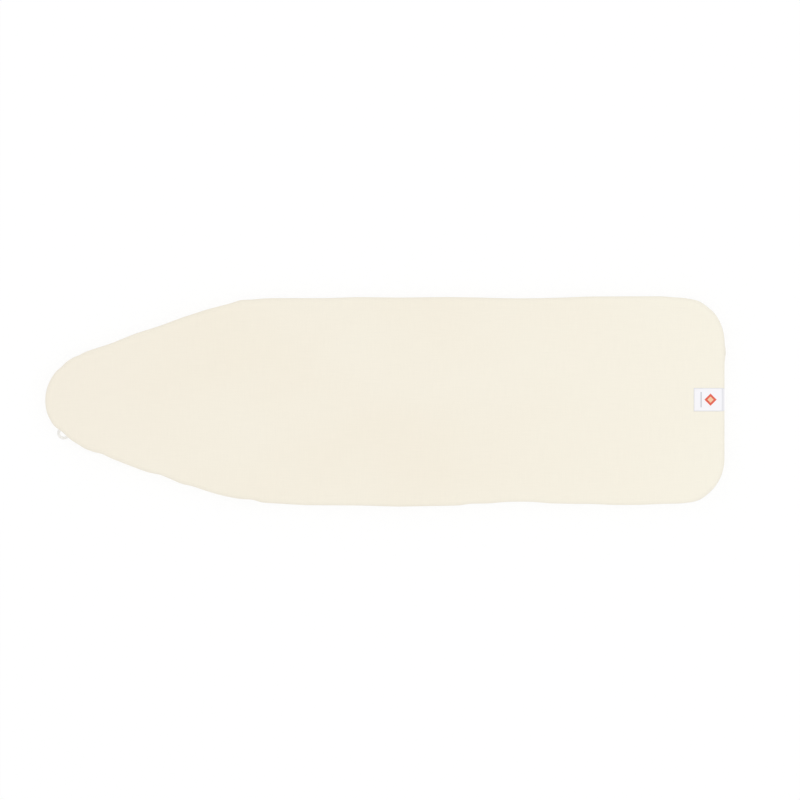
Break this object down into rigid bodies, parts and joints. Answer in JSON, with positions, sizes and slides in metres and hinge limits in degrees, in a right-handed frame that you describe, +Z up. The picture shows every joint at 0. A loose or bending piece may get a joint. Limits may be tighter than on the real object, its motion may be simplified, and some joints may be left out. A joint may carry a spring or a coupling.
{
  "type": "ironing board cover",
  "caption": "Padded ironing board cover with round nose, square tail, gathered drawstring hem, spring cord lock and an elastic strap with lever clips underneath.",
  "frame": {"origin": "on the surface that the cover rests on, under the middle of its outline", "axes": "+X from the round nose to the square tail, +Y across the cover to its far side, +Z up out of the ironing face"},
  "size_m": [1.2408, 0.381, 0.0426],
  "materials": {
    "cotton": "plain-weave undyed cotton, pressed smooth",
    "foam": "open-cell foam",
    "felt": "needle-punched felt",
    "tape": "plain-weave cotton bias tape",
    "cord": "braided polyester cord",
    "plastic": "moulded white plastic",
    "rubber": "moulded grip rubber",
    "spring_steel": "drawn spring wire",
    "nickel": "nickel-plated pressed steel",
    "elastic": "woven ribbed elastic",
    "satin": "woven satin label"
  },
  "bodies": {
    "cover": {"cotton_cover": "cotton", "foam_pad": "foam", "felt_pad": "felt", "hem_binding_near": "tape", "hem_binding_tail": "tape", "hem_binding_far": "tape", "drawstring_in_hem": "cord", "drawstring_end_near": "cord", "drawstring_end_far": "cord", "cord_end_piece": "plastic", "elastic_strap": "elastic", "clip_plate_near": "nickel", "clip_grip_pad_near": "rubber", "clip_pin_near": "nickel", "clip_plate_far": "nickel", "clip_grip_pad_far": "rubber", "clip_pin_far": "nickel", "woven_label": "satin"},
    "cord_lock": {"cord_lock_barrel": "plastic", "cord_lock_spring": "spring_steel"},
    "cord_lock_button": {"cord_lock_button": "plastic"},
    "clip_lever_near": {"clip_lever_near": "nickel"},
    "clip_lever_far": {"clip_lever_far": "nickel"}
  },
  "joints": [
    {"name": "cord_lock_slide", "type": "slide", "parent": "cover", "child": "cord_lock", "axis": [-0.7678, -0.6407, 0], "range_m": [0, 0.012]},
    {"name": "cord_lock_press", "type": "slide", "parent": "cord_lock", "child": "cord_lock_button", "axis": [-0.6407, 0.7678, 0], "range_m": [0, 0.0035], "stiffness_N_per_m": 600, "springref_m": -0.004, "deforming": ["cord_lock_spring"]},
    {"name": "clip_lever_near_turn", "type": "hinge", "parent": "cover", "child": "clip_lever_near", "pos_m": [0.247, -0.133, 0.005], "axis": [-1, 0, 0], "range_deg": [0, 100]},
    {"name": "clip_lever_far_turn", "type": "hinge", "parent": "cover", "child": "clip_lever_far", "pos_m": [0.247, 0.1341, 0.005], "axis": [1, 0, 0], "range_deg": [0, 100]}
  ]
}
